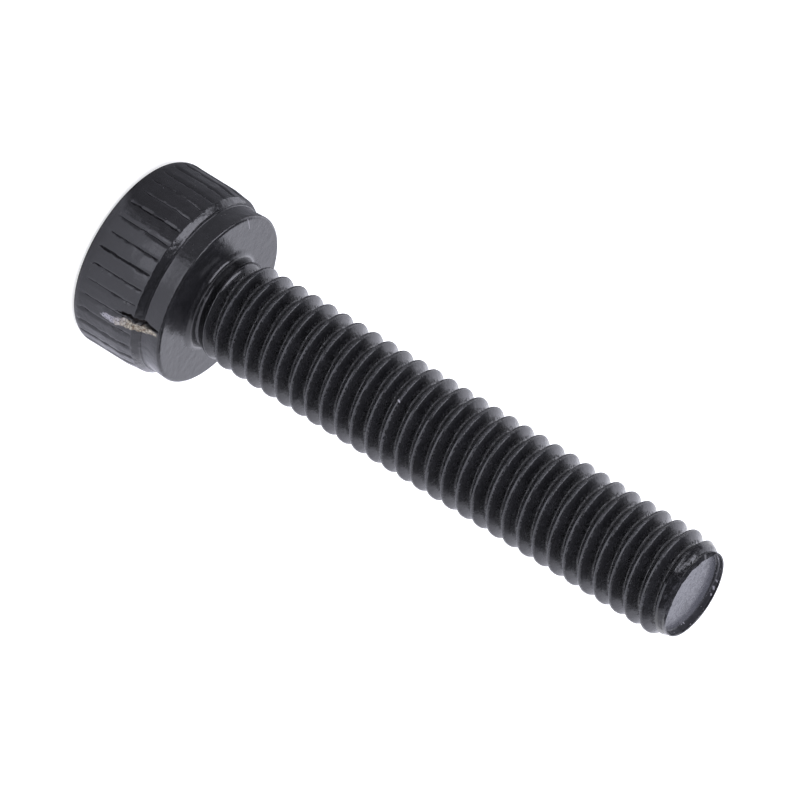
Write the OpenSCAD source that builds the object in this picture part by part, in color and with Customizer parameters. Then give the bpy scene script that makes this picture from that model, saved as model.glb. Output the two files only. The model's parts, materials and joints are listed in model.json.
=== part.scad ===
// Hex socket head cap screw, one solid of black alloy steel.
//
// The origin is the centre of the bearing face, under the head. +Z runs along
// the shank towards its end, so the head lies below z = 0 and the screw stands
// on the flat top of its head. Millimetres. The shank is drawn at the diameter
// of the thread crests; the helix itself is left out.

/* [Head] */
// Diameter over the knurl
head_d = 5.34; // [5.32:0.01:5.5]
// Height of the head, from its flat top to the bearing face
head_h = 2.87; // [2.86:0.01:3]
// Radius of the rounded edge round the flat top
top_edge_r = 0.35; // [0.2:0.01:0.4]
// Distance from the bearing face at which the knurled side starts to draw in
taper_start = 1.25; // [1.1:0.01:1.4]
// Amount by which the knurled side draws in before its shoulder
taper_in = 0.05; // [0.02:0.01:0.07]
// Distance from the bearing face to the middle of the rounded shoulder
shoulder_at = 0.86; // [0.8:0.01:0.95]
// Radius of the rounded shoulder
shoulder_r = 0.22; // [0.2:0.01:0.24]

/* [Collar] */
// Diameter of the plain collar at the bearing face
collar_d = 4.95; // [4.92:0.01:4.98]
// Diameter of the collar at the foot of the shoulder
collar_foot_d = 4.9; // [4.86:0.01:4.92]
// Distance from the bearing face at which the collar starts to flare
collar_flare = 0.45; // [0.35:0.01:0.5]
// Radius of the hollow where the shoulder meets the collar
hollow_r = 0.08; // [0.05:0.01:0.1]
// Radius of the rounded edge of the bearing face
bearing_edge_r = 0.18; // [0.1:0.01:0.2]

/* [Knurl] */
// Number of grooves round the head
knurl_count = 35; // [24:1:40]
// Width of one groove at the surface
knurl_w = 0.09; // [0.05:0.01:0.14]
// Depth of one groove
knurl_depth = 0.055; // [0.03:0.005:0.08]
// Length of the grooves, which run out into the rounded ends of the side
knurl_l = 1.72; // [1.2:0.01:1.8]
// Angle of the first groove
knurl_turn = 1.5; // [0:0.1:10]

/* [Socket] */
// Width of the socket across its flats
socket_af = 2.5; // [2.4:0.01:2.6]
// Depth of the socket's straight walls
socket_depth = 1.4; // [1.3:0.05:1.5]
// Depth of the cone at the bottom of the socket
socket_cone = 0.3; // [0.1:0.05:0.4]
// Amount by which the chamfer at the mouth opens the socket all round
mouth_chamfer = 0.25; // [0.1:0.01:0.3]

/* [Shank] */
// Diameter over the thread crests
crest_d = 2.89; // [2.87:0.01:2.98]
// Diameter of the short plain neck under the head
neck_d = 2.6; // [2.55:0.01:2.66]
// Length of the plain neck
neck_l = 0.35; // [0.3:0.05:1]
// Length over which the thread grows from the neck to its full height
runout_l = 0.55; // [0.4:0.05:1]
// Radius of the fillet between the neck and the bearing face
neck_fillet = 0.3; // [0.1:0.01:0.3]
// Length of the shank, from the bearing face to the end
shank_l = 15.7; // [6:0.01:20]

/* [End] */
// Diameter of the rim at the end
rim_d = 2.46; // [2.4:0.01:2.6]
// Length of the chamfer between the last thread and the rim
point_l = 0.3; // [0.2:0.05:0.5]
// Diameter of the dished end at its rim
dish_d = 2.36; // [2.3:0.01:2.38]
// Diameter of the dish's flat floor
dish_floor_d = 2.28; // [2:0.01:2.28]
// Depth of the dish that thread rolling leaves in the end
dish_depth = 0.2; // [0.1:0.01:0.3]

/* [Hidden] */
$fn = 120;

// Overlap between shapes that are joined or cut
eps = 0.02;
head_r = head_d / 2;
collar_r = collar_d / 2;
collar_foot_r = collar_foot_d / 2;
crest_r = crest_d / 2;
neck_r = neck_d / 2;
rim_r = rim_d / 2;
hex_corner_r = socket_af / 2 / cos(30);
// Middle of the rounded shoulder's arc, across and along the axis
shoulder_x = head_r - taper_in - shoulder_r;
shoulder_z = -shoulder_at;
// Middle of the hollow's arc, which touches both the shoulder and the collar
hollow_x = collar_foot_r + hollow_r;
hollow_z = shoulder_z + sqrt(pow(shoulder_r + hollow_r, 2) - pow(hollow_x - shoulder_x, 2));
// Start of the full thread, and of the chamfer at the end
thread_start = neck_l + runout_l;
point_start = shank_l - point_l;
black_steel = [0.13, 0.13, 0.15];

// Half section of the knurled part of the head, before its grooves are cut
module band_section() {
    translate([0, -head_h]) square([head_r - top_edge_r, top_edge_r]);
    translate([head_r - top_edge_r, top_edge_r - head_h]) circle(top_edge_r);
    polygon([
        [0, top_edge_r - head_h],
        [head_r, top_edge_r - head_h],
        [head_r, -taper_start],
        [head_r - taper_in, shoulder_z],
        [0, shoulder_z]
    ]);
    translate([shoulder_x, shoulder_z]) circle(shoulder_r);
}

// Half section of the plain collar, with the hollow at its foot and its rounded edge
module collar_section() {
    polygon([
        [0, shoulder_z],
        [collar_foot_r, shoulder_z],
        [collar_foot_r, -collar_flare],
        [collar_r, -bearing_edge_r],
        [0, -bearing_edge_r]
    ]);
    translate([0, -bearing_edge_r - eps]) square([collar_r - bearing_edge_r, bearing_edge_r + eps]);
    translate([collar_r - bearing_edge_r, -bearing_edge_r]) circle(bearing_edge_r);
    difference() {
        polygon([
            [shoulder_x, shoulder_z],
            [hollow_x, hollow_z],
            [shoulder_x, hollow_z]
        ]);
        translate([hollow_x, hollow_z]) circle(hollow_r);
    }
}

// Head turned as one piece, with no knurl and no socket
module head_blank() {
    rotate_extrude() {
        band_section();
        collar_section();
    }
}

// One groove of the knurl, standing on the head's side at angle 0
module knurl_groove() {
    translate([head_r, 0, shoulder_z - knurl_l])
        linear_extrude(knurl_l)
            polygon([[-knurl_depth, 0], [knurl_depth, -knurl_w], [knurl_depth, knurl_w]]);
}

// Straight knurl all round the head
module knurl() {
    for (i = [0 : knurl_count - 1])
        rotate([0, 0, knurl_turn + i * 360 / knurl_count]) knurl_groove();
}

// Hexagon socket with a coned bottom and a chamfered mouth
module socket() {
    translate([0, 0, -head_h - eps])
        cylinder(h = socket_depth + eps, r = hex_corner_r, $fn = 6);
    translate([0, 0, socket_depth - head_h - eps])
        cylinder(h = socket_cone + eps, r1 = socket_af / 2 - eps, r2 = 0);
    translate([0, 0, -head_h - eps])
        cylinder(h = mouth_chamfer + eps, r1 = socket_af / 2 + mouth_chamfer + eps, r2 = socket_af / 2);
}

// Fillet that joins the neck to the bearing face
module neck_root() {
    rotate_extrude()
        difference() {
            translate([0, -eps]) square([neck_r + neck_fillet, neck_fillet + eps]);
            translate([neck_r + neck_fillet, neck_fillet]) circle(neck_fillet);
        }
}

// Shank at the height of the thread crests, with its neck and chamfered end
module shank_blank() {
    neck_root();
    cylinder(h = neck_l + eps, r = neck_r);
    translate([0, 0, neck_l]) cylinder(h = runout_l, r1 = neck_r, r2 = crest_r);
    translate([0, 0, thread_start]) cylinder(h = point_start - thread_start, r = crest_r);
    translate([0, 0, point_start]) cylinder(h = point_l, r1 = crest_r, r2 = rim_r);
}

// Shallow dish in the end of the shank, whose coned wall is cut right through the rim
module end_dish() {
    wall_slope = (dish_d - dish_floor_d) / 2 / dish_depth;
    translate([0, 0, shank_l - dish_depth])
        cylinder(h = dish_depth + eps, r1 = dish_floor_d / 2, r2 = dish_d / 2 + wall_slope * eps);
}

// The whole screw
module cap_screw() {
    color(black_steel)
        difference() {
            union() {
                head_blank();
                shank_blank();
            }
            knurl();
            socket();
            end_dish();
        }
}

cap_screw();
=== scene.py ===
"""Hex socket cap screw of black oxide steel, modelled, finished and set up in a pale studio.

Sizes are in metres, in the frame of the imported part. The origin is the centre of the bearing
face, and +Z runs along the shank to its end, so the head lies below the origin and the screw
stands on the flat top of its head.
"""

import json
import logging
import math
import random
from dataclasses import astuple, dataclass
from enum import Enum
from typing import Callable, Dict, List, Optional, Sequence, Tuple, Union

import bmesh
import bpy
from mathutils import Matrix, Vector, noise


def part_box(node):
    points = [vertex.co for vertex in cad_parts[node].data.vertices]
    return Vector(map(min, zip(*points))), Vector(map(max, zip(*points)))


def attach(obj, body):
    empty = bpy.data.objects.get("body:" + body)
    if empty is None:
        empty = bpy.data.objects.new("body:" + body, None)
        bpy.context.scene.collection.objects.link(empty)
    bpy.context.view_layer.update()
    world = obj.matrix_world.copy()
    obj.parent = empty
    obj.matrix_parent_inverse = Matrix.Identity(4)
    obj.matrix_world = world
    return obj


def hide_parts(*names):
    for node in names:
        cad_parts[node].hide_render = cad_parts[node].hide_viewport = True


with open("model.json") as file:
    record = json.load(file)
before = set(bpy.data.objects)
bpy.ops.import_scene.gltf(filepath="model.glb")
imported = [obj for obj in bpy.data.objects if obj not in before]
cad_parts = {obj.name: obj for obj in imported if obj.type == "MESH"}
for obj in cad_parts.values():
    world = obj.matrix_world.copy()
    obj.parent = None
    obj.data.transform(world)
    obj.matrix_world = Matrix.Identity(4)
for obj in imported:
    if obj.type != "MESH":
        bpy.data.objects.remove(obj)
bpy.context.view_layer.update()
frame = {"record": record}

LOG = logging.getLogger("cap_screw")
MM = 0.001
FULL_TURN = 2 * math.pi
SEED = 17
NODE = "cap_screw"
MERGE_DISTANCE = 0.001 * MM
ON_PLANE = 1e-7
BARE = "bare_metal"
CREVICE = "crevice"
AXIS = Vector((0, 0, 1))

MOUTH_RADIUS = 1.5 * MM
FLAT_MARGIN = 0.02 * MM

Point = Tuple[float, float]
Span = Tuple[float, float]
Place = Tuple[float, float, float]
Colour = Tuple[float, float, float, float]
Where = Callable[[Vector], bool]
Move = Callable[[Vector], Vector]


def clamp(value: float, low: float = 0.0, high: float = 1.0) -> float:
    """Returns the value held between two limits."""
    return max(low, min(high, value))


def smooth_step(value: float, start: float, stop: float) -> float:
    """Eases from 0 to 1 as a value goes from start to stop.

    Args:
        value: The value to ease.
        start: Where the result leaves 0.
        stop: Where the result reaches 1.

    Returns:
        A number from 0 to 1.
    """
    share = clamp((value - start) / (stop - start))
    return share * share * (3 - 2 * share)


def blend_between(start: float, stop: float, share: float) -> float:
    """Returns the number a share of the way from start to stop."""
    return start + (stop - start) * share


def polar(co: Vector) -> Tuple[float, float]:
    """Returns a point's distance from the axis and its angle round it."""
    return math.hypot(co.x, co.y), math.atan2(co.y, co.x)


def at_polar(radius: float, angle: float, height: float) -> Vector:
    """Returns the point at a radius, an angle and a height."""
    return Vector((radius * math.cos(angle), radius * math.sin(angle), height))


def with_radius(co: Vector, radius: float) -> Vector:
    """Returns a point moved in or out to a radius, at its own angle and height."""
    return at_polar(radius, math.atan2(co.y, co.x), co.z)


def noise_round(angle: float, waves: float, level: float) -> float:
    """Returns noise that closes on itself round the axis, and is finer with more waves."""
    return noise.noise(at_polar(waves, angle, level))


def arc(centre: Point, radius: float, start: float, stop: float, steps: int) -> List[Point]:
    """Works out the points of an arc in the outline's plane.

    Args:
        centre: Middle of the arc, across and along the axis.
        radius: Radius of the arc.
        start: Angle of the first point, in degrees.
        stop: Angle of the last point, in degrees.
        steps: Number of straight stretches along the arc.

    Returns:
        The points, ends included.
    """
    angles = [math.radians(blend_between(start, stop, i / steps)) for i in range(steps + 1)]
    return [(centre[0] + radius * math.cos(a), centre[1] + radius * math.sin(a)) for a in angles]


def line(start: Point, stop: Point, steps: int) -> List[Point]:
    """Works out evenly spaced points of a straight line, without its first point.

    Args:
        start: Where the line starts.
        stop: Where the line ends.
        steps: Number of stretches.

    Returns:
        The points after the first.
    """
    return [
        (blend_between(start[0], stop[0], i / steps), blend_between(start[1], stop[1], i / steps))
        for i in range(1, steps + 1)
    ]


class Workpiece:
    """One mesh on the bench, shaped in edit mode with Blender's own operators."""

    def __init__(self, name: str) -> None:
        """Takes up the active object, names it and its mesh, and goes to edit mode.

        Args:
            name: The piece's name.
        """
        self.obj = bpy.context.object
        self.obj.name = name
        self.obj.data.name = name
        bpy.ops.object.mode_set(mode="EDIT")
        bpy.ops.mesh.select_mode(type="VERT")
        bpy.ops.mesh.select_all(action="SELECT")

    @classmethod
    def start(cls, name: str) -> "Workpiece":
        """Starts a piece as a plane drawn together to one selected point at the origin.

        Args:
            name: The piece's name.

        Returns:
            The piece, in edit mode.
        """
        leave_nothing_selected()
        bpy.ops.mesh.primitive_plane_add(size=MM, location=(0, 0, 0))
        piece = cls(name)
        bpy.ops.mesh.merge(type="CENTER")
        return piece

    def draw(self, outline: Sequence[Point]) -> None:
        """Draws an outline from the selected point, in the plane of X and Z.

        Args:
            outline: Points across and along the axis.
        """
        last = Vector((outline[0][0], 0, outline[0][1]))
        bpy.ops.transform.translate(value=last)
        for across, along in outline[1:]:
            place = Vector((across, 0, along))
            bpy.ops.mesh.extrude_vertices_move(TRANSFORM_OT_translate={"value": place - last})
            last = place

    def spin(self, steps: int) -> None:
        """Turns the whole outline once round the axis and closes the seam.

        Args:
            steps: Number of steps in the turn.
        """
        bpy.ops.mesh.select_all(action="SELECT")
        bpy.ops.mesh.spin(steps=steps, angle=FULL_TURN, center=(0, 0, 0), axis=AXIS)
        self.merge_doubles()

    def merge_doubles(self) -> None:
        """Merges points that lie on each other."""
        bpy.ops.mesh.select_all(action="SELECT")
        bpy.ops.mesh.remove_doubles(threshold=MERGE_DISTANCE)

    def pick(self, mode: str, choose: Callable[[bmesh.types.BMesh], list]) -> None:
        """Selects the elements that a rule chooses, and nothing else.

        Args:
            mode: VERT, EDGE or FACE.
            choose: Gives the chosen elements of the mesh.
        """
        bpy.ops.mesh.select_mode(type=mode)
        bpy.ops.mesh.select_all(action="DESELECT")
        mesh = bmesh.from_edit_mesh(self.obj.data)
        for element in choose(mesh):
            element.select_set(True)
        mesh.select_flush_mode()
        bmesh.update_edit_mesh(self.obj.data)

    def select(self, where: Where) -> None:
        """Selects the points that lie where the rule says."""
        self.pick("VERT", lambda mesh: [v for v in mesh.verts if where(v.co)])

    def select_border(self, where: Where) -> None:
        """Selects the open edges that have both ends where the rule says.

        Args:
            where: Says of a place whether it is taken.
        """

        def is_taken(edge: bmesh.types.BMEdge) -> bool:
            """Says whether an edge is open and has both ends in place."""
            return edge.is_boundary and all(where(end.co) for end in edge.verts)

        self.pick("EDGE", lambda mesh: [edge for edge in mesh.edges if is_taken(edge)])

    def select_faces(self, where: Where) -> None:
        """Selects the faces that have their middle where the rule says."""
        self.pick("FACE", lambda mesh: [f for f in mesh.faces if where(f.calc_center_median())])

    def extrude_ring(self, grow: float, rise: float) -> None:
        """Extrudes the selected border and moves the new ring.

        Args:
            grow: What the new ring's radius is multiplied by.
            rise: How far the new ring moves along the axis.
        """
        bpy.ops.mesh.extrude_region_move(TRANSFORM_OT_translate={"value": (0, 0, rise)})
        bpy.ops.transform.resize(value=(grow, grow, 1), center_override=(0, 0, 0))

    def extrude_along(self, outline: Sequence[Point]) -> None:
        """Extrudes the selected ring through the points of an outline.

        Args:
            outline: Radius and height of each ring, the selected one first.
        """
        for (radius, height), (next_radius, next_height) in zip(outline, outline[1:]):
            self.extrude_ring(next_radius / radius, next_height - height)

    def draw_to_point(self, rise: float = 0.0) -> None:
        """Extrudes the selected ring along the axis and draws the new one together to a point."""
        bpy.ops.mesh.extrude_region_move(TRANSFORM_OT_translate={"value": (0, 0, rise)})
        bpy.ops.mesh.merge(type="CENTER")

    def cut(self, height: float, keep_above: bool) -> None:
        """Cuts the mesh across the axis and drops one side of it.

        Args:
            height: Height of the cut.
            keep_above: Keeps what is above the cut, or else what is below.
        """
        bpy.ops.mesh.select_all(action="SELECT")
        bpy.ops.mesh.bisect(
            plane_co=(0, 0, height),
            plane_no=AXIS,
            clear_inner=keep_above,
            clear_outer=not keep_above,
            threshold=ON_PLANE / 10,
        )

    def reshape(self, move: Move, only_selected: bool = False) -> None:
        """Moves points by a rule.

        Args:
            move: Gives a point's new place from its old one.
            only_selected: Moves only the selected points.
        """
        mesh = bmesh.from_edit_mesh(self.obj.data)
        for vertex in mesh.verts:
            if vertex.select or not only_selected:
                vertex.co = move(vertex.co)
        bmesh.update_edit_mesh(self.obj.data)

    def leave(self) -> bpy.types.Object:
        """Goes back to object mode and returns the object."""
        bpy.ops.object.mode_set(mode="OBJECT")
        return self.obj


def leave_nothing_selected() -> None:
    """Goes to object mode and deselects every object."""
    if bpy.context.object is not None and bpy.context.object.mode != "OBJECT":
        bpy.ops.object.mode_set(mode="OBJECT")
    bpy.ops.object.select_all(action="DESELECT")


def take_up(obj: bpy.types.Object) -> None:
    """Makes an object the only selected one, and the active one."""
    leave_nothing_selected()
    obj.select_set(True)
    bpy.context.view_layer.objects.active = obj


@dataclass
class Head:
    """The knurled head with its collar, turned from one outline and open where the shank joins."""

    radius: float
    height: float
    columns: int = 420
    grooves: int = 35
    top_edge_radius: float = 0.35 * MM
    top_ring_radius: float = 1.9 * MM
    taper_start: float = 1.27 * MM
    taper_in: float = 0.05 * MM
    shoulder_at: float = 0.85 * MM
    shoulder_tilt: float = 33.7
    shoulder_round: float = 0.07 * MM
    shoulder_in: float = 0.125 * MM
    hollow_radius: float = 0.05 * MM
    collar_radius: float = 2.475 * MM
    collar_foot_radius: float = 2.45 * MM
    collar_flare: float = 0.45 * MM
    bearing_edge_radius: float = 0.09 * MM
    ring_gap: float = 0.06 * MM
    groove_depth: float = 0.052 * MM
    groove_start: float = -2.58 * MM
    groove_stop: float = -0.78 * MM
    groove_fade: float = 0.16 * MM
    first_groove: float = math.radians(1.5)
    groove_lip: float = math.radians(0.85)
    lip_round: float = math.radians(1.2)
    lip_droop: float = 0.015 * MM
    land_flatness: float = 0.7
    land_tilt: float = 0.014 * MM
    line_wander: float = math.radians(0.35)
    wander_scale: float = 5200.0
    depth_range: Span = (0.85, 1.2)
    turn_share: float = 0.1
    start_wander: float = 0.04

    def outline(self) -> List[Point]:
        """Draws half the head's section, from the socket's mouth to the bearing face.

        Returns:
            Radius and height of each point.
        """
        top = -self.height
        side_foot = top + self.top_edge_radius
        shoulder = (self.radius - self.taper_in - self.shoulder_round, -self.shoulder_at)
        turn_in = arc(shoulder, self.shoulder_round, 0, self.shoulder_tilt, 4)
        fall = self.shoulder_in / math.tan(math.radians(self.shoulder_tilt))
        cone_end = (turn_in[-1][0] - self.shoulder_in, turn_in[-1][1] + fall)
        hollow = (self.collar_foot_radius + self.hollow_radius, cone_end[1] + self.hollow_radius)
        edge = (self.collar_radius - self.bearing_edge_radius, -self.bearing_edge_radius)
        points: List[Point] = [(MOUTH_RADIUS, top)]
        points += line(points[-1], (self.top_ring_radius, top), 2)
        points += arc((self.radius - self.top_edge_radius, side_foot), self.top_edge_radius, -90, 0, 9)
        side_rings = round((-self.taper_start - side_foot) / self.ring_gap)
        points += line(points[-1], (self.radius, -self.taper_start), side_rings)
        points += line(points[-1], (self.radius - self.taper_in, -self.shoulder_at), 7)
        points += turn_in[1:]
        points += line(points[-1], cone_end, 4)
        points += arc(hollow, self.hollow_radius, 250, 180, 4)
        points += line(points[-1], (self.collar_foot_radius, -self.collar_flare), 2)
        points += line(points[-1], (self.collar_radius, -self.bearing_edge_radius), 4)
        points += arc(edge, self.bearing_edge_radius, 0, 90, 8)[1:]
        points.append((edge[0] - FLAT_MARGIN, points[-1][1]))
        return points

    def column_offsets(self) -> List[float]:
        """Works out where the columns of one groove and its land stand.

        Returns:
            The angle of each column from the middle of the groove.
        """
        per_groove = self.columns // self.grooves
        pitch = FULL_TURN / self.grooves
        inner = self.groove_lip + self.lip_round
        between = per_groove - 4
        land = [blend_between(inner, pitch - inner, i / between) for i in range(between + 1)]
        return [0.0, self.groove_lip, *land, pitch - self.groove_lip]

    def press_knurl(self, piece: Workpiece) -> None:
        """Presses the grooves into the side and flattens the lands between them.

        Args:
            piece: The turned head.
        """
        rng = random.Random(SEED)
        per_groove = self.columns // self.grooves
        pitch = FULL_TURN / self.grooves
        offsets = self.column_offsets()
        depths = [rng.uniform(*self.depth_range) for _ in range(self.grooves)]
        turn, wander = self.turn_share, self.start_wander
        turns = [rng.uniform(-turn, turn) * self.groove_lip for _ in range(self.grooves)]
        starts = [rng.uniform(-wander, wander) * MM for _ in range(self.grooves)]
        tilts = [rng.uniform(-1, 1) * self.land_tilt for _ in range(self.grooves)]

        def press(co: Vector) -> Vector:
            """Presses one point of the head.

            Args:
                co: The point's place.

            Returns:
                Its place on a groove or a land.
            """
            radius, angle = polar(co)
            column = round(angle % FULL_TURN / FULL_TURN * self.columns) % self.columns
            groove, kind = divmod(column, per_groove)
            in_side = smooth_step(
                co.z, self.groove_start + starts[groove], self.groove_start + self.groove_fade
            ) * (1 - smooth_step(co.z, self.groove_stop - self.groove_fade, self.groove_stop))
            offset = offsets[kind]
            turned = self.first_groove + groove * pitch + offset + turns[groove] * (kind in (0, 1))
            near_line = kind in (0, 1, per_groove - 1)
            uneven = noise.noise(at_polar(self.radius, turned, co.z) * self.wander_scale)
            turned += near_line * uneven * self.line_wander * in_side
            if kind == 0:
                radius -= self.groove_depth * (depths[groove] + 0.5 * uneven) * in_side
            else:
                half = pitch / 2 - self.groove_lip
                bulge = radius * (1 - math.cos(half) / math.cos(offset - pitch / 2))
                radius -= bulge * self.land_flatness * in_side
                share = offset / pitch if tilts[groove] > 0 else 1 - offset / pitch
                radius -= abs(tilts[groove]) * share * in_side
                if near_line:
                    radius -= self.lip_droop * (1 + 1.6 * uneven) * in_side
            return at_polar(radius, turned, co.z)

        piece.reshape(press)

    def build(self) -> bpy.types.Object:
        """Turns the head and presses its knurl.

        Returns:
            The head, open at the socket's mouth and where the shank joins.
        """
        piece = Workpiece.start("head")
        piece.draw(self.outline())
        piece.spin(self.columns)
        self.press_knurl(piece)
        return piece.leave()


@dataclass
class Socket:
    """The hexagon socket, open at its mouth."""

    head_height: float
    across_flats: float = 2.5 * MM
    depth: float = 1.4 * MM
    cone_depth: float = 0.3 * MM
    cone_radius: float = 1.2 * MM
    cone_shares: Tuple[float, ...] = (0, 0.25, 0.5, 0.75, 0.95)
    cuts: int = 11
    walls: int = 8

    def build(self) -> bpy.types.Object:
        """Models the socket from a hexagon, pressed in from the head's flat top.

        Returns:
            The socket, whose mouth follows the chamfer.
        """
        leave_nothing_selected()
        corner = self.across_flats / 2 / math.cos(math.radians(30))
        bpy.ops.mesh.primitive_circle_add(vertices=6, radius=corner, location=(0, 0, 0))
        piece = Workpiece("socket")
        bpy.ops.mesh.select_mode(type="EDGE")
        bpy.ops.mesh.subdivide(number_cuts=self.cuts)
        top = -self.head_height
        bpy.ops.transform.translate(value=(0, 0, top + self.depth))
        wall_step = self.depth / self.walls
        for _ in range(self.walls):
            piece.extrude_ring(1, -wall_step)

        def follow_chamfer(co: Vector) -> Vector:
            """Returns a wall point drawn under the chamfer of the mouth."""
            mouth = MOUTH_RADIUS - polar(co)[0]
            share = clamp((top + self.depth - co.z) / self.depth)
            return Vector((co.x, co.y, top + self.depth - share * (self.depth - mouth)))

        piece.reshape(follow_chamfer)
        floor = top + self.depth
        piece.select_border(lambda co: abs(co.z - floor) < wall_step / 20)
        bpy.ops.mesh.extrude_region_move()
        bpy.ops.transform.tosphere(value=1)
        self.close_floor(piece, floor)
        return piece.leave()

    def close_floor(self, piece: Workpiece, floor: float) -> None:
        """Sets the ring on the floor to its circle and draws the cone to its point.

        Args:
            piece: The socket, with the new ring selected.
            floor: Height of the floor.
        """
        piece.reshape(
            lambda co: at_polar(self.cone_radius, polar(co)[1], floor), only_selected=True
        )
        rings = [
            (self.cone_radius * (1 - share), floor + self.cone_depth * share)
            for share in self.cone_shares
        ]
        piece.extrude_along(rings)
        piece.draw_to_point(self.cone_depth * (1 - self.cone_shares[-1]))


@dataclass
class Shank:
    """The neck, the rolled thread and the dished end."""

    length: float
    crest_radius: float
    pitch: float = 0.5 * MM
    depth: float = 0.3 * MM
    crest_half: float = 0.04 * MM
    neck_radius: float = 1.3 * MM
    neck_cut: float = 0.25 * MM
    fillet: float = 0.2 * MM
    runout_start: float = 0.25 * MM
    runout_stop: float = 0.92 * MM
    runout_wander: float = 0.08 * MM
    runout_power: float = 0.7
    point_ragged: float = 0.02 * MM
    crest_height: float = 1.1146 * MM
    turns_below: int = 3
    turns: int = 33
    steps: int = 96
    rim_radius: float = 1.23 * MM
    point_length: float = 0.5 * MM
    rim_length: float = 0.05 * MM
    lip_width: float = 0.045 * MM
    rim_fall: float = 0.1 * MM
    rim_roll: float = 0.13 * MM
    rim_edge: float = 0.01 * MM
    rim_blend: float = 0.06 * MM
    lip_left: Span = (-176.0, -150.0)
    lip_right: Span = (-70.0, -28.0)
    dish_depth: float = 0.2 * MM
    dish_floor_radius: float = 1.15 * MM
    dish_rings: int = 8

    def thread_outline(self) -> List[Point]:
        """Draws one pitch of the thread, from one crest to the next.

        Returns:
            Radius and height of each point.
        """
        start = self.crest_height - self.turns_below * self.pitch
        root_radius = self.crest_radius - self.depth
        flank = self.depth * math.tan(math.radians(30))
        root_half = self.pitch / 2 - flank - self.crest_half
        crest_round = self.crest_half / math.tan(math.radians(30))
        root_round = root_half / math.tan(math.radians(30))
        crest_centre = (self.crest_radius - crest_round, start)
        root_centre = (root_radius + root_round, start + self.pitch / 2)
        crest = arc(crest_centre, crest_round, 0, 60, 3)
        root = arc(root_centre, root_round, 240, 120, 6)
        rise = arc((crest_centre[0], start + self.pitch), crest_round, -60, 0, 3)
        down = line(crest[-1], root[0], 2)
        up = line(root[-1], rise[0], 2)
        return crest + down + root[1:] + up + rise[1:]

    def roll_thread(self) -> Workpiece:
        """Winds the thread's outline up the shank.

        Returns:
            The thread, longer than the shank at both ends.
        """
        piece = Workpiece.start("shank")
        piece.draw(self.thread_outline())
        piece.leave()
        screw = piece.obj.modifiers.new("thread", "SCREW")
        screw.axis = "Z"
        screw.angle = FULL_TURN
        screw.screw_offset = self.pitch
        screw.iterations = self.turns
        screw.steps = self.steps
        screw.render_steps = self.steps
        take_up(piece.obj)
        bpy.ops.object.modifier_apply(modifier=screw.name)
        bpy.ops.object.mode_set(mode="EDIT")
        piece.merge_doubles()
        return piece

    def run_out(self, co: Vector) -> Vector:
        """Fades the thread to the neck, and points its end.

        Args:
            co: The point's place.

        Returns:
            Its new place.
        """
        radius, angle = polar(co)
        wander = self.runout_wander * noise_round(angle, 1.7, 0)
        wander *= smooth_step(co.z, self.runout_start, self.runout_stop)
        grown = smooth_step(co.z + wander, self.runout_start, self.runout_stop) ** self.runout_power
        radius = blend_between(self.neck_radius, radius, grown)
        left = self.length - self.rim_length - co.z
        pointed = self.rim_radius + (self.crest_radius - self.rim_radius) * clamp(
            left / self.point_length
        )
        ragged = self.point_ragged * noise_round(angle, 2.3, 4)
        radius = min(radius, pointed + ragged * smooth_step(left, 0, 0.1 * MM))
        in_rim = 1 - smooth_step(left, 0, self.rim_blend)
        return at_polar(blend_between(radius, self.rim_radius, in_rim), angle, co.z)

    def close_end(self, piece: Workpiece) -> None:
        """Closes the end with its thin rim and its dish.

        Args:
            piece: The shank, cut off at its length.
        """
        piece.select_border(lambda co: abs(co.z - self.length) < ON_PLANE)
        inner = self.rim_radius - self.lip_width
        floor = self.length - self.dish_depth
        rings = [
            (self.rim_radius, self.length),
            (inner + self.rim_edge, self.length),
            (inner, self.length - 0.015 * MM),
            (inner - 0.012 * MM, self.length - self.dish_depth / 2),
            (inner - 0.02 * MM, floor + 0.02 * MM),
            (self.dish_floor_radius - self.rim_edge, floor),
        ]
        last = rings[-1][0]
        steps = self.dish_rings + 1
        rings += [(last * (1 - i / steps), floor) for i in range(1, steps)]
        piece.extrude_along(rings)
        piece.draw_to_point()
        piece.reshape(self.roll_rim)

    def roll_rim(self, co: Vector) -> Vector:
        """Rolls the near half of the rim in to a ragged lip.

        Args:
            co: The point's place.

        Returns:
            Its new place.
        """
        radius, angle = polar(co)
        if co.z < self.length - 0.02 * MM or radius < self.rim_radius - self.rim_blend:
            return co
        turn = math.degrees(angle)
        worn = smooth_step(turn, *self.lip_left) * (1 - smooth_step(turn, *self.lip_right))
        ragged = noise_round(angle, 3.1, 0) + 0.6 * noise_round(angle, 9.0, 2)
        if radius > self.rim_radius - self.rim_edge:
            return Vector((co.x, co.y, co.z - worn * self.rim_fall * (1 + 0.4 * ragged)))
        return with_radius(co, radius - worn * self.rim_roll * (1 + 0.45 * ragged))

    def build(self) -> bpy.types.Object:
        """Rolls the thread, cuts it to length and adds the fillet and the end.

        Returns:
            The shank, open where it joins the head.
        """
        piece = self.roll_thread()
        piece.reshape(self.run_out)
        piece.cut(self.neck_cut, keep_above=True)
        piece.cut(self.length, keep_above=False)
        self.close_end(piece)
        piece.select_border(lambda co: abs(co.z - self.neck_cut) < ON_PLANE)
        piece.extrude_along(self.root_outline())
        return piece.leave()

    def root_outline(self) -> List[Point]:
        """Draws the foot of the neck: a small fillet that ends on the bearing face.

        Returns:
            Radius and height of each ring, from the neck down.
        """
        middle = (self.neck_radius + self.fillet, self.fillet)
        foot = arc(middle, self.fillet, 180, 270, 6)
        return [(self.neck_radius, self.neck_cut), *foot, (middle[0] + FLAT_MARGIN, foot[-1][1])]


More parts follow.
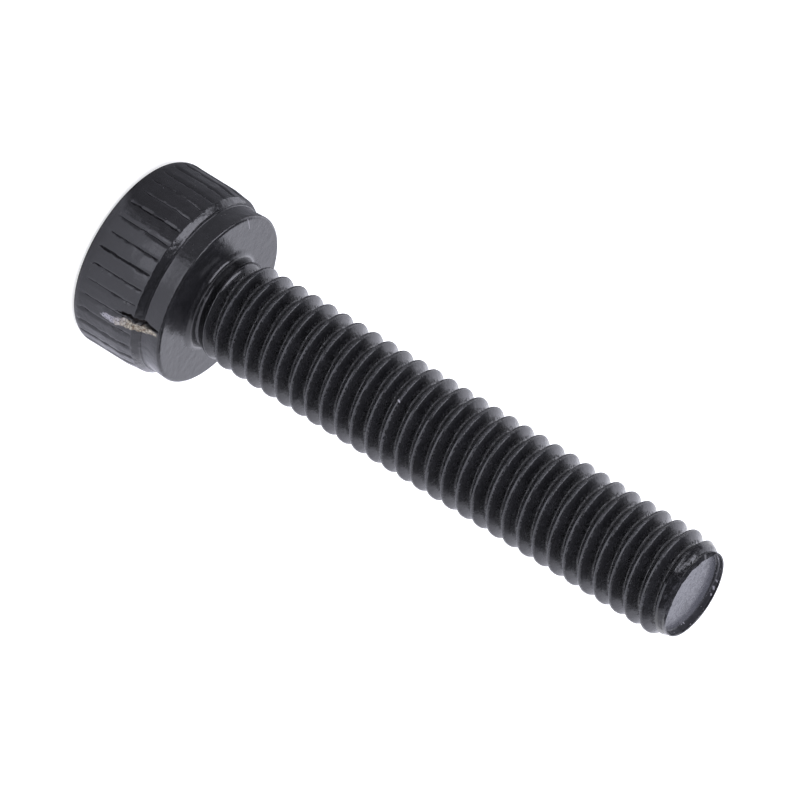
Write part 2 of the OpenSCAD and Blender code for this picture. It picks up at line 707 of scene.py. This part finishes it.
@dataclass(frozen=True)
class ChipStation:
    """One height of the chip: angles in degrees from the front towards +X, height in mm."""

    height: float
    inner: float
    outer: float
    crack: float
    crack_half: float
    raised: float


@dataclass
class Chip:
    """A sliver of bare metal lifted off the head at one groove, with a crack beside it."""

    stations: Tuple[ChipStation, ...] = (
        ChipStation(-1.82, 45.5, 46.0, 40.5, 0.1, 0.0),
        ChipStation(-1.7, 43.9, 46.4, 39.6, 0.1, 0.03),
        ChipStation(-1.45, 42.6, 46.6, 38.6, 0.15, 0.05),
        ChipStation(-1.2, 40.8, 46.0, 37.6, 0.3, 0.06),
        ChipStation(-0.9, 39.3, 44.8, 36.9, 1.5, 0.07),
        ChipStation(-0.6, 41.0, 45.0, 38.8, 1.8, 0.06),
        ChipStation(-0.4, 41.0, 44.4, 39.0, 1.7, 0.04),
        ChipStation(-0.17, 40.8, 42.4, 39.0, 0.8, 0.01),
    )
    crack_depth: float = 0.11 * MM
    front: float = math.radians(-90)
    around: Span = (33.0, 51.0)
    inmost: float = 2.3 * MM
    edge: float = 0.5
    wander_scale: float = 4500.0
    ragged_scale: float = 12000.0
    lift_scale: float = 6000.0
    cuts: int = 2

    def at(self, height: float) -> Optional[ChipStation]:
        """Works out the chip's outline at a height.

        Args:
            height: Height in mm.

        Returns:
            The outline there, or None above and below the chip.
        """
        for low, high in zip(self.stations, self.stations[1:]):
            if low.height <= height <= high.height:
                share = (height - low.height) / (high.height - low.height)
                ends = zip(astuple(low), astuple(high))
                return ChipStation(*(blend_between(start, stop, share) for start, stop in ends))
        return None

    def front_angle(self, co: Vector) -> float:
        """Returns a point's angle from the front towards +X, in degrees."""
        return math.degrees((polar(co)[1] - self.front + math.pi) % FULL_TURN - math.pi)

    def covers(self, co: Vector) -> bool:
        """Says whether a point is near the chip.

        Args:
            co: The point's place.

        Returns:
            True in the part of the skin that is divided finely.
        """
        first, last = self.around
        in_turn = first < self.front_angle(co) < last
        in_height = self.stations[0].height * MM < co.z < self.stations[-1].height * MM
        return in_turn and in_height and polar(co)[0] > self.inmost

    def masks(self, co: Vector) -> Tuple[float, float, float]:
        """Works out how much of a point is bare, cracked and raised.

        Args:
            co: The point's place.

        Returns:
            Bare share, cracked share, and raised height in metres.
        """
        here = self.at(co.z / MM)
        if here is None or polar(co)[0] < self.inmost:
            return 0.0, 0.0, 0.0
        angle = self.front_angle(co) + 1.2 * noise.noise(co * self.wander_scale)
        angle += 0.8 * noise.noise(co * self.ragged_scale)
        bare = smooth_step(angle, here.inner - self.edge, here.inner + self.edge)
        bare *= 1 - smooth_step(angle, here.outer - self.edge, here.outer + self.edge)
        half = max(here.crack_half, 0.05)
        crack = 1 - smooth_step(abs(angle - here.crack), half * 0.5, half * 1.3)
        lift = here.raised * MM * bare * (0.75 + 0.6 * noise.noise(co * self.lift_scale))
        return bare, crack * smooth_step(half, 0.1, 0.5), lift

    def cut_into(self, piece: Workpiece) -> None:
        """Divides the skin finely round the chip, lifts the sliver, opens the crack and marks both.

        Args:
            piece: The screw, in edit mode.
        """
        piece.select_faces(self.covers)
        bpy.ops.mesh.subdivide(number_cuts=self.cuts)
        mesh = bmesh.from_edit_mesh(piece.obj.data)
        bare_layer = mesh.verts.layers.float.new(BARE)
        crack_layer = mesh.verts.layers.float.new(CREVICE)
        for vertex in mesh.verts:
            bare, crack, lift = self.masks(vertex.co)
            vertex[bare_layer] = bare
            vertex[crack_layer] = crack
            if bare > 0 or crack > 0:
                radius = polar(vertex.co)[0] + lift - crack * self.crack_depth
                vertex.co = with_radius(vertex.co, radius)
        bmesh.update_edit_mesh(piece.obj.data)


class Signal:
    """One number that varies over a surface, with arithmetic."""

    def __init__(self, graph: "Graph", socket: bpy.types.NodeSocket) -> None:
        """Wraps an output socket of a graph."""
        self.graph = graph
        self.socket = socket

    def __add__(self, other: "Value") -> "Signal":
        """Returns the sum."""
        return self.graph.math("ADD", self, other)

    def __radd__(self, other: "Value") -> "Signal":
        """Returns the sum."""
        return self.graph.math("ADD", other, self)

    def __sub__(self, other: "Value") -> "Signal":
        """Returns the difference."""
        return self.graph.math("SUBTRACT", self, other)

    def __rsub__(self, other: "Value") -> "Signal":
        """Returns the difference, taken from a number."""
        return self.graph.math("SUBTRACT", other, self)

    def __mul__(self, other: "Value") -> "Signal":
        """Returns the product."""
        return self.graph.math("MULTIPLY", self, other)

    def __rmul__(self, other: "Value") -> "Signal":
        """Returns the product."""
        return self.graph.math("MULTIPLY", other, self)


Value = Union[float, Signal]


class Graph:
    """A node tree that is built from expressions."""

    def __init__(self, tree: bpy.types.NodeTree) -> None:
        """Clears a node tree and takes it over."""
        self.tree = tree
        tree.nodes.clear()

    def node(
        self,
        kind: str,
        settings: Optional[Dict[str, object]] = None,
        sockets: Optional[Dict[Union[str, int], object]] = None,
    ) -> bpy.types.Node:
        """Adds one node, sets it, and then fills its sockets.

        Args:
            kind: The node's type.
            settings: Its settings by name.
            sockets: Values, signals or sockets by the name or number of its inputs.

        Returns:
            The node.
        """
        made = self.tree.nodes.new(kind)
        for name, value in (settings or {}).items():
            setattr(made, name, value)
        for name, value in (sockets or {}).items():
            target = made.inputs[name]
            if isinstance(value, Signal):
                value = value.socket
            if isinstance(value, bpy.types.NodeSocket):
                self.tree.links.new(value, target)
            else:
                target.default_value = value
        return made

    def math(self, operation: str, *values: Value) -> Signal:
        """Adds one Math node and returns its result."""
        made = self.node("ShaderNodeMath", {"operation": operation}, dict(enumerate(values)))
        return Signal(self, made.outputs[0])

    def ease(self, value: Value, start: float, stop: float) -> Signal:
        """Eases from 0 to 1 as a value goes from start to stop.

        Args:
            value: The value to ease.
            start: Where the result leaves 0.
            stop: Where the result reaches 1.

        Returns:
            The eased signal.
        """
        made = self.node(
            "ShaderNodeMapRange",
            {"interpolation_type": "SMOOTHSTEP"},
            {"Value": value, "From Min": start, "From Max": stop},
        )
        return Signal(self, made.outputs["Result"])

    def noise(self, place: bpy.types.NodeSocket, scale: float, detail: float = 3) -> Signal:
        """Draws soft noise.

        Args:
            place: The place it is drawn at.
            scale: How fine it is.
            detail: How many finer layers it has.

        Returns:
            The noise, from 0 to 1.
        """
        made = self.node(
            "ShaderNodeTexNoise", None, {"Vector": place, "Scale": scale, "Detail": detail}
        )
        return Signal(self, made.outputs["Fac"])

    def attribute(self, name: str) -> Signal:
        """Returns the value of one of the mesh's own attributes."""
        made = self.node("ShaderNodeAttribute", {"attribute_name": name})
        return Signal(self, made.outputs["Fac"])

    def vector(self, operation: str, first: object, second: object) -> bpy.types.Node:
        """Adds one Vector Math node and returns it."""
        return self.node(
            "ShaderNodeVectorMath", {"operation": operation}, {0: first, 1: second}
        )

    def stretched(self, place: bpy.types.NodeSocket, factors: Sequence[float]) -> bpy.types.NodeSocket:
        """Returns a place with each axis multiplied by its own factor."""
        return self.vector("MULTIPLY", place, tuple(factors)).outputs[0]

    def mix(self, share: Value, first: object, second: object) -> bpy.types.NodeSocket:
        """Mixes two colours.

        Args:
            share: The second colour's share.
            first: The first colour.
            second: The second colour.

        Returns:
            The mixed colour.
        """
        made = self.node(
            "ShaderNodeMix", {"data_type": "RGBA"}, {0: share, 6: first, 7: second}
        )
        return made.outputs[2]

    def surface(self, inputs: Dict[Union[str, int], object]) -> None:
        """Adds the surface shader, with its inputs by name, and the material's output."""
        shader = self.node("ShaderNodeBsdfPrincipled", None, inputs)
        self.node("ShaderNodeOutputMaterial", None, {"Surface": shader.outputs[0]})


def new_finish(name: str) -> Tuple[bpy.types.Material, Graph]:
    """Returns a new material and its empty graph."""
    material = bpy.data.materials.new(name)
    material.use_nodes = True
    return material, Graph(material.node_tree)


@dataclass(frozen=True)
class Patterns:
    """The uneven patterns of the finish, each a signal from 0 to 1 round a middle of a half."""

    graph: Graph
    place: bpy.types.NodeSocket
    cloud: Signal
    dents: Signal
    mottle: Signal
    speck: Signal
    grain: Signal
    rings: Signal
    fine_rings: Signal
    uprights: Signal

    @classmethod
    def draw(cls, graph: Graph) -> "Patterns":
        """Draws clouds, mottling and grain, rings round the shank, and uprights on the head.

        Args:
            graph: The material's graph.

        Returns:
            The patterns, with the graph and the object coordinates that they lie on.
        """
        place = graph.node("ShaderNodeTexCoord").outputs["Object"]
        return cls(
            graph=graph,
            place=place,
            cloud=graph.noise(place, 1100, 4),
            dents=graph.noise(place, 2600, 2),
            mottle=graph.noise(place, 6000, 4),
            speck=graph.noise(place, 15000, 3),
            grain=graph.noise(place, 34000, 2),
            rings=graph.noise(graph.stretched(place, (900, 900, 22000)), 1, 4),
            fine_rings=graph.noise(graph.stretched(place, (2500, 2500, 60000)), 1, 3),
            uprights=graph.noise(graph.stretched(place, (16000, 16000, 1200)), 1, 3),
        )


@dataclass(frozen=True)
class Borders:
    """Where each place on the screw fades in or out.

    The crest and the root count from the radius over the crests, and end, lip and rim from the end
    of the shank. The others are plain radii or places along an axis. The stained part of the chip
    is in mm, and all the rest in metres.
    """

    shank: Span = (0.3 * MM, 0.7 * MM)
    neck_side: float = 1.6 * MM
    neck_fade: float = 0.05 * MM
    crest: Span = (-0.035 * MM, -0.006 * MM)
    crest_ragged: float = 0.03 * MM
    root: Span = (-0.26 * MM, -0.16 * MM)
    end: Span = (-0.24 * MM, -0.18 * MM)
    lip: Span = (-0.18 * MM, -0.14 * MM)
    rim: Span = (-0.05 * MM, -0.03 * MM)
    dish_floor: Span = (1.13 * MM, 1.15 * MM)
    dish_wall: Span = (1.19 * MM, 1.2 * MM)
    far_half: Span = (-0.2 * MM, 0.1 * MM)
    head_side: Span = (2.42 * MM, 2.46 * MM)
    stained_chip: Span = (-1.5, -0.9)

    @staticmethod
    def moved(span: Span, by: float) -> Span:
        """Returns a span moved by a distance."""
        return by + span[0], by + span[1]


@dataclass(frozen=True)
class Zones:
    """How much a point belongs to each place on the screw, each a signal from 0 to 1."""

    on_shank: Signal
    on_crest: Signal
    in_root: Signal
    in_end: Signal
    in_wall: Signal
    in_tip: Signal
    on_side: Signal
    along_chip: Signal
    bare: Signal
    crack: Signal

    @classmethod
    def find(cls, patterns: Patterns, crest_radius: float, length: float) -> "Zones":
        """Works out where on the screw a point is.

        Args:
            patterns: The finish's patterns, which make the borders ragged.
            crest_radius: Radius over the thread's crests.
            length: Length of the shank.

        Returns:
            The zones.
        """
        graph, borders = patterns.graph, Borders()
        crest, root = (borders.moved(span, crest_radius) for span in (borders.crest, borders.root))
        end, lip, rim = (borders.moved(span, length) for span in (borders.end, borders.lip, borders.rim))
        parts = graph.node("ShaderNodeSeparateXYZ", None, {0: patterns.place}).outputs
        across, deep, along = (Signal(graph, part) for part in parts)
        radius = graph.math("SQRT", across * across + deep * deep)
        on_shank = graph.ease(along, *borders.shank)
        on_crest = graph.ease(radius + (patterns.speck - 0.5) * borders.crest_ragged, *crest)
        beside_head = graph.ease(borders.neck_side - radius, 0, borders.neck_fade)
        at_end = graph.ease(along, *end)
        in_end = at_end * (1 - graph.ease(along, *lip)) * (1 - graph.ease(radius, *borders.dish_floor))
        in_dish = (1 - graph.ease(radius, *borders.dish_wall)) * (1 - graph.ease(along, *rim))
        chip_place = along * (1 / MM) + (patterns.mottle - 0.5) * 0.8
        return cls(
            on_shank=on_shank,
            on_crest=on_crest * on_shank * beside_head,
            in_root=(1 - graph.ease(radius, *root)) * on_shank * (1 - at_end),
            in_end=in_end,
            # The far (+Y) half of the dish wall, where sheen and glints are painted.
            in_wall=at_end * (1 - in_end) * in_dish * graph.ease(deep, *borders.far_half),
            in_tip=at_end * (1 - in_end),
            on_side=graph.ease(radius, *borders.head_side),
            along_chip=graph.ease(chip_place, *borders.stained_chip),
            bare=graph.attribute(BARE),
            # Crack mask: makes the crack rougher and carries its painted shade.
            crack=graph.attribute(CREVICE),
        )


@dataclass(frozen=True)
class Mark:
    """One scratch, nick or stain along a short straight stretch, in mm."""

    start: Place
    stop: Place
    width: float
    share: float

    def shape(self, patterns: Patterns) -> Signal:
        """Works out how much of the mark is at a place.

        Args:
            patterns: The finish's patterns, which make the mark's border ragged.

        Returns:
            The mark's share there.
        """
        graph = patterns.graph
        first = Vector(self.start) * MM
        run = Vector(self.stop) * MM - first
        offset = graph.vector("SUBTRACT", patterns.place, tuple(first)).outputs[0]
        dot = graph.vector("DOT_PRODUCT", offset, tuple(run)).outputs["Value"]
        share = Signal(graph, dot) * (1 / max(run.length_squared, ON_PLANE**2))
        share = graph.math("MINIMUM", graph.math("MAXIMUM", share, 0), 1)
        spread = graph.node("ShaderNodeCombineXYZ", None, {0: share, 1: share, 2: share})
        nearest = graph.vector("MULTIPLY", spread.outputs[0], tuple(run)).outputs[0]
        gap = graph.vector("DISTANCE", offset, nearest).outputs["Value"]
        ragged = Signal(graph, gap) + (patterns.speck - 0.5) * (self.width * MM)
        return (1 - graph.ease(ragged, self.width * MM * 0.3, self.width * MM)) * self.share


PALE_MARKS_AND_GLINTS = (
    Mark((-2.2, -1.15, 0.0), (-2.0, -0.72, 0.0), 0.03, 0.22),
    Mark((-0.31, -1.41, 6.27), (-0.22, -1.43, 6.52), 0.03, 0.8),
    Mark((-1.02, -2.46, -0.62), (-0.98, -2.47, -0.3), 0.025, 0.5),
    Mark((0.35, -1.42, 9.95), (0.42, -1.4, 10.02), 0.03, 0.6),
    # The last three are painted glints: bright specks on the far wall of the end's dish.
    Mark((-0.62, 1.02, 15.6), (-0.6, 1.03, 15.63), 0.04, 0.9),
    Mark((-0.43, 1.1, 15.6), (-0.39, 1.12, 15.62), 0.045, 0.9),
    Mark((-0.24, 1.15, 15.62), (-0.22, 1.16, 15.63), 0.03, 0.7),
)
DARK_MARKS = (
    Mark((-1.42, -0.38, 7.2), (-1.35, -0.48, 7.27), 0.05, 0.9),
    Mark((-2.14, -1.1, 0.0), (-1.9, -0.62, 0.0), 0.03, 0.8),
    Mark((0.83, 0.61, 15.5), (0.84, 0.62, 15.5), 0.035, 0.9),
    Mark((0.28, 0.33, 15.5), (0.38, 0.42, 15.5), 0.09, 0.35),
)


@dataclass(frozen=True)
class BlackOxide:
    """Black oxide on steel: near-black satin, worn lighter on crests, with one bare chip, painted sheen
    and glints on the far dish wall, and painted shade in the crack.
    """

    dark: Colour = (0.0055, 0.0055, 0.006, 1)
    light: Colour = (0.0085, 0.0085, 0.0095, 1)
    # Worn crests, flecks and tip streaks; also the painted sheen on the far half of the dish wall.
    rubbed_and_sheen: Colour = (0.034, 0.034, 0.037, 1)
    end_face: Colour = (0.06, 0.061, 0.069, 1)
    # Bare metal of the chip and the pale marks; also the painted glints on the far half of the dish
    # wall.
    bare: Colour = (0.34, 0.33, 0.36, 1)
    bare_warm: Colour = (0.42, 0.385, 0.31, 1)
    rust: Colour = (0.1, 0.065, 0.035, 1)
    # Near-black painted shade for the inside of the crack beside the chip.
    crack: Colour = (0.005, 0.0035, 0.003, 1)
    refraction: float = 1.6
    roughness: float = 0.2
    relief: float = 0.0052 * MM

    def build(self, crest_radius: float, length: float) -> bpy.types.Material:
        """Builds the finish.

        Args:
            crest_radius: Radius over the thread's crests.
            length: Length of the shank.

        Returns:
            The material.
        """
        material, graph = new_finish("black_oxide_steel")
        patterns = Patterns.draw(graph)
        zones = Zones.find(patterns, crest_radius, length)
        bump = graph.node(
            "ShaderNodeBump",
            None,
            {"Strength": 1.0, "Distance": self.relief, "Height": self.height(patterns, zones)},
        )
        graph.surface(
            {
                "Base Color": self.marked(patterns, self.tone(patterns, zones)),
                "Roughness": self.roughness_of(patterns, zones),
                "Metallic": zones.bare * 0.5,
                "IOR": self.refraction,
                "Normal": bump.outputs[0],
            }
        )
        return material

    def tone(self, patterns: Patterns, zones: Zones) -> bpy.types.NodeSocket:
        """Mixes the colour: oxide, worn crests, flecks, the dull end, painted sheen and glints on the
        far dish wall, the chip, and painted shade in the crack.

        Args:
            patterns: The finish's patterns.
            zones: Where on the screw a point is.

        Returns:
            The colour.
        """
        graph = patterns.graph
        oxide = graph.ease(patterns.cloud * 0.5 + patterns.mottle * 0.5, 0.35, 0.65)
        tone = graph.mix(oxide, self.dark, self.light)
        worn = graph.ease(patterns.rings * 0.4 + patterns.speck * 0.6, 0.46, 0.62)
        tone = graph.mix(zones.on_crest * worn * 0.75, tone, self.rubbed_and_sheen)
        flecks = graph.ease(patterns.speck * 0.6 + patterns.grain * 0.4, 0.58, 0.68)
        tone = graph.mix(flecks * 0.4, tone, self.rubbed_and_sheen)
        stained = graph.ease(patterns.speck, 0.62, 0.7)
        end_tone = graph.mix(stained, self.end_face, self.light)
        tone = graph.mix(zones.in_end, tone, end_tone)
        # Painted sheen: the far half of the dish wall is lightened.
        tone = graph.mix(zones.in_wall * (0.5 + patterns.mottle * 0.6), tone, self.rubbed_and_sheen)
        streaks = graph.ease(patterns.mottle * 0.5 + patterns.rings * 0.5, 0.5, 0.62)
        tone = graph.mix(zones.in_tip * streaks * 0.45, tone, self.rubbed_and_sheen)
        # Painted glints: bright specks on the same far half of the dish wall.
        tone = graph.mix(zones.in_wall * graph.ease(patterns.speck, 0.66, 0.7), tone, self.bare)
        metal = graph.mix(zones.along_chip, self.bare, self.bare_warm)
        stain = graph.ease(patterns.speck * 0.5 + patterns.grain * 0.5, 0.5, 0.6)
        metal = graph.mix(stain * zones.along_chip, metal, self.rust)
        tone = graph.mix(zones.bare * graph.ease(patterns.grain, 0.35, 0.55), tone, metal)
        # Painted shade: the crack is darkened to near black.
        return graph.mix(zones.crack, tone, self.crack)

    def marked(self, patterns: Patterns, tone: bpy.types.NodeSocket) -> bpy.types.NodeSocket:
        """Adds the scratches, nicks, stains and painted glints to the colour.

        Args:
            patterns: The finish's patterns.
            tone: The colour so far.

        Returns:
            The colour.
        """
        for marks, mark_tone in ((PALE_MARKS_AND_GLINTS, self.bare), (DARK_MARKS, self.dark)):
            for mark in marks:
                tone = patterns.graph.mix(mark.shape(patterns), tone, mark_tone)
        return tone

    def roughness_of(self, patterns: Patterns, zones: Zones) -> Signal:
        """Works out the roughness, uneven everywhere and greatest in the roots and the crack.

        Args:
            patterns: The finish's patterns.
            zones: Where on the screw a point is.

        Returns:
            The roughness.
        """
        rough = self.roughness + (patterns.mottle - 0.5) * 0.22 + (patterns.speck - 0.5) * 0.2
        rough = rough + (patterns.cloud - 0.5) * 0.12 + (patterns.rings - 0.5) * 0.1
        broken = patterns.graph.ease(patterns.speck, 0.42, 0.6)
        rough = rough + zones.in_root * broken * 0.45 + zones.on_crest * broken * 0.15
        return rough + zones.bare * 0.25 + zones.crack * 0.45

    def height(self, patterns: Patterns, zones: Zones) -> Signal:
        """Works out the relief: grain all over, rings on the shank, uprights on the head.

        Args:
            patterns: The finish's patterns.
            zones: Where on the screw a point is.

        Returns:
            The height, as a share of the relief.
        """
        height = (patterns.grain - 0.5) * 0.35 + (patterns.speck - 0.5) * 0.6
        height = height + (patterns.mottle - 0.5) * 0.8 + (patterns.fine_rings - 0.5) * 0.2
        height = height + (patterns.dents - 0.5) * (1.5 + zones.on_side * 4 + zones.in_tip * 4)
        height = height + (patterns.rings - 0.5) * zones.on_shank * 0.5
        height = height + (patterns.speck - 0.5) * zones.on_crest * 0.4
        height = height + (patterns.uprights - 0.5) * zones.on_side * 0.6
        return height + zones.bare * (patterns.speck - 0.5) * 3


@dataclass
class Screw:
    """The whole screw, joined from its head, socket and shank into one closed mesh."""

    head_radius: float
    head_height: float
    length: float
    crest_radius: float
    smooth_angle: float = math.radians(35)
    inner_border: float = 2.0 * MM
    bridge_lift: float = 0.04 * MM

    def join(self, parts: Sequence[bpy.types.Object]) -> Workpiece:
        """Joins the parts and bridges the two gaps between them.

        Args:
            parts: Head, socket and shank.

        Returns:
            The joined screw, in edit mode.
        """
        leave_nothing_selected()
        for part in parts:
            part.select_set(True)
        bpy.context.view_layer.objects.active = parts[0]
        bpy.ops.object.join()
        piece = Workpiece("screw")
        self.bridge_bearing_face(piece)
        piece.select_border(lambda co: co.z < -self.head_height / 2)
        bpy.ops.mesh.bridge_edge_loops()
        return piece

    def bridge_bearing_face(self, piece: Workpiece) -> None:
        """Closes the flat ring between head and shank.

        The two borders lie in one plane round one middle, where the bridge can't tell which way
        round to join them, so the inner one stands up a little until the bridge is made.

        Args:
            piece: The joined parts, in edit mode.
        """
        lift = self.bridge_lift
        piece.select_border(lambda co: abs(co.z) < ON_PLANE and polar(co)[0] < self.inner_border)
        bpy.ops.transform.translate(value=(0, 0, lift))
        piece.select_border(lambda co: -ON_PLANE < co.z < lift + ON_PLANE)
        bpy.ops.mesh.bridge_edge_loops()
        piece.select(lambda co: abs(co.z - lift) < ON_PLANE and polar(co)[0] < self.inner_border)
        bpy.ops.transform.translate(value=(0, 0, -lift))

    def build(self) -> bpy.types.Object:
        """Models the screw.

        Returns:
            The screw, closed and smooth.
        """
        head = Head(self.head_radius, self.head_height).build()
        LOG.info("head: %d faces", len(head.data.polygons))
        socket = Socket(self.head_height).build()
        LOG.info("socket: %d faces", len(socket.data.polygons))
        shank = Shank(self.length, self.crest_radius).build()
        LOG.info("shank: %d faces", len(shank.data.polygons))
        piece = self.join([head, socket, shank])
        Chip().cut_into(piece)
        piece.merge_doubles()
        bpy.ops.mesh.normals_make_consistent(inside=False)
        mesh = bmesh.from_edit_mesh(piece.obj.data)
        loose = sum(not edge.is_manifold for edge in mesh.edges)
        LOG.info("open or loose edges: %d, volume %.1f mm3", loose, mesh.calc_volume() / MM**3)
        obj = piece.leave()
        take_up(obj)
        bpy.ops.object.shade_smooth_by_angle(angle=self.smooth_angle)
        return obj

    def dress(self, obj: bpy.types.Object) -> None:
        """Gives the screw its finish.

        Args:
            obj: The screw.
        """
        obj.data.materials.clear()
        obj.data.materials.append(BlackOxide().build(self.crest_radius, self.length))


class Seen(Enum):
    """Whether a light shows in reflections."""

    IN_REFLECTIONS = True
    NOT_IN_REFLECTIONS = False


@dataclass(frozen=True)
class SoftLight:
    """A soft light with a square or oblong face that points at a place."""

    name: str
    place: Place
    aim: Place
    width: float
    height: float
    power: float
    seen: Seen = Seen.NOT_IN_REFLECTIONS
    tone: Tuple[float, float, float] = (0.885, 0.89, 1)

    def build(self) -> bpy.types.Object:
        """Adds the light.

        Returns:
            The light.
        """
        leave_nothing_selected()
        bpy.ops.object.light_add(type="AREA", location=self.place)
        light = bpy.context.object
        light.name = self.name
        light.data.shape = "RECTANGLE"
        light.data.size = self.width
        light.data.size_y = self.height
        light.data.energy = self.power
        light.data.color = self.tone
        aim = Vector(self.aim) - Vector(self.place)
        light.rotation_euler = aim.to_track_quat("-Z", "Y").to_euler()
        light.visible_camera = False
        light.visible_glossy = self.seen.value
        return light


LIGHTS = (
    SoftLight("overhead", (0, 0, 0.5), (0, 0, 0), 0.8, 0.8, 9),
    SoftLight("floor_fill", (0.06, -0.06, 0.08), (0.03, -0.03, 0), 0.07, 0.07, 0.06),
    SoftLight(
        "side_box", (-0.256, -0.136, 0.196), (0, 0, 0.002), 0.4, 0.11, 0.6, Seen.IN_REFLECTIONS
    ),
)


@dataclass
class Studio:
    """The floor, the lights and the camera."""

    floor_height: float
    floor_side: float = 6.0
    floor_tone: Colour = (0.45, 0.45, 0.45, 1)
    floor_glow: float = 0.68
    dullness: float = 0.9
    light_tone: Colour = (0.885, 0.89, 1, 1)
    level_behind: float = 1.55
    level_above: float = 0.11
    level_low: float = 1.1
    level_least: float = 0.03
    behind_span: Span = (-0.1, 0.2)
    behind_skew: float = 0.35
    above_span: Span = (0.52, 0.63)
    above_skew: float = 0.12
    low_span: Span = (0.02, 0.06)
    right_loss: float = 0.35
    card_dark: Colour = (0.14, 0.14, 0.143, 1)
    card_middling: Colour = (0.46, 0.46, 0.47, 1)
    card_pale: Colour = (0.79, 0.79, 0.8, 1)
    card_front_span: Span = (0.88, 0.95)
    card_left_span: Span = (-0.36, -0.22)
    card_outer: float = 60 * MM
    card_gap: float = 0.02 * MM
    card_corners: int = 48
    elevation: float = math.radians(23.65)
    roll: float = math.radians(31.77)
    distance: float = 333.4 * MM
    aim: Place = (-0.2685 * MM, 0.0, 5.872 * MM)
    lens: float = 580.6
    sensor: float = 36.0

    def lay_floor(self) -> None:
        """Lays a plain pale floor under the head."""
        leave_nothing_selected()
        bpy.ops.mesh.primitive_plane_add(size=self.floor_side, location=(0, 0, self.floor_height))
        floor = bpy.context.object
        floor.name = "floor"
        floor.data.materials.append(self.floor_finish())

    def lay_card(self) -> None:
        """Lays a round grey card on the floor round the head, which only reflections show."""
        leave_nothing_selected()
        bpy.ops.mesh.primitive_circle_add(
            vertices=self.card_corners,
            radius=self.card_outer,
            fill_type="NGON",
            location=(0, 0, self.floor_height + self.card_gap),
        )
        card = bpy.context.object
        card.name = "card"
        bpy.ops.object.transform_apply(location=True)
        card.data.materials.append(self.card_finish())
        card.visible_camera = False
        card.visible_shadow = False
        card.visible_diffuse = False

    def card_finish(self) -> bpy.types.Material:
        """Builds the card's finish: dark to the left, palest straight in front.

        Returns:
            The material.
        """
        material, graph = new_finish("grey_card")
        place = graph.node("ShaderNodeTexCoord").outputs["Object"]
        outward = graph.node("ShaderNodeVectorMath", {"operation": "NORMALIZE"}, {0: place})
        parts = graph.node("ShaderNodeSeparateXYZ", None, {0: outward.outputs[0]}).outputs
        side, back = (Signal(graph, part) for part in parts[:2])
        in_front = graph.ease(0 - back, *self.card_front_span)
        tone = graph.mix(in_front, self.card_middling, self.card_pale)
        tone = graph.mix(graph.ease(side, *self.card_left_span), self.card_dark, tone)
        graph.surface({"Base Color": tone, "Roughness": self.dullness, "Specular IOR Level": 0.0})
        return material

    def floor_finish(self) -> bpy.types.Material:
        """Builds the floor's finish: pale, dull and softly lit from beneath.

        Returns:
            The material.
        """
        material, graph = new_finish("pale_floor")
        graph.surface(
            {
                "Base Color": self.floor_tone,
                "Roughness": self.dullness,
                "Specular IOR Level": 0.0,
                "Emission Color": (1, 1, 1, 1),
                "Emission Strength": self.floor_glow,
            }
        )
        return material

    def light_room(self) -> None:
        """Sets a soft room, bright behind the screw and low down, and dim above and in front."""
        world = bpy.data.worlds.new("studio")
        bpy.context.scene.world = world
        world.use_nodes = True
        graph = Graph(world.node_tree)
        place = graph.node("ShaderNodeTexCoord").outputs["Generated"]
        parts = graph.node("ShaderNodeSeparateXYZ", None, {0: place}).outputs
        side, back, up = (Signal(graph, part) for part in parts)
        behind = graph.ease(back + side * self.behind_skew, *self.behind_span)
        above = graph.ease(up - side * self.above_skew, *self.above_span)
        to_right = graph.math("MAXIMUM", side, 0)
        level = behind * (1 - above) * (1 - to_right * self.right_loss) * self.level_behind
        level = level + above * self.level_above + self.level_least
        level = level + (1 - graph.ease(up, *self.low_span)) * self.level_low
        background = graph.node(
            "ShaderNodeBackground", None, {"Color": self.light_tone, "Strength": level}
        )
        graph.node("ShaderNodeOutputWorld", None, {"Surface": background.outputs[0]})

    def set_lights(self) -> None:
        """Sets the soft lights."""
        for light in LIGHTS:
            light.build()
            LOG.info("light %s", light.name)

    def set_camera(self) -> None:
        """Sets the camera, which looks down at the screw with its own roll."""
        forward = Vector((0, math.cos(self.elevation), -math.sin(self.elevation)))
        lift = Vector((0, math.sin(self.elevation), math.cos(self.elevation)))
        side = Vector((1, 0, 0))
        right = math.cos(self.roll) * lift - math.sin(self.roll) * side
        up = -math.sin(self.roll) * lift - math.cos(self.roll) * side
        place = Vector(self.aim) - forward * self.distance
        bpy.ops.object.camera_add(location=place)
        camera = bpy.context.object
        turn = Matrix((right, up, -forward)).transposed()
        camera.matrix_world = Matrix.Translation(place) @ turn.to_4x4()
        camera.data.lens = self.lens
        camera.data.sensor_width = self.sensor
        camera.data.clip_start = self.distance / 10
        camera.data.clip_end = self.distance * 40
        bpy.context.scene.camera = camera

    def build(self) -> None:
        """Builds the floor, the room, the lights and the camera."""
        self.lay_floor()
        self.lay_card()
        self.light_room()
        self.set_lights()
        self.set_camera()
        bpy.context.scene.view_settings.view_transform = "Standard"


def shank_radius(record: dict) -> float:
    """Returns the radius over the crests, as the record's shank mount gives it."""
    mount = next(m for m in record["mounts"] if m["name"] == "shank")
    return mount["dims"]["r_mm"] * MM


def main() -> None:
    """Builds the screw and its studio.
    """
    logging.basicConfig(level=logging.INFO, format="%(name)s: %(message)s")
    low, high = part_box(NODE)
    screw = Screw(high.x, -low.z, high.z, shank_radius(frame["record"]))
    obj = screw.build()
    screw.dress(obj)
    LOG.info("screw: %d faces", len(obj.data.polygons))
    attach(obj, "root")
    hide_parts(NODE)
    Studio(low.z).build()
    LOG.info("studio ready")


if __name__ == "__main__":
    main()
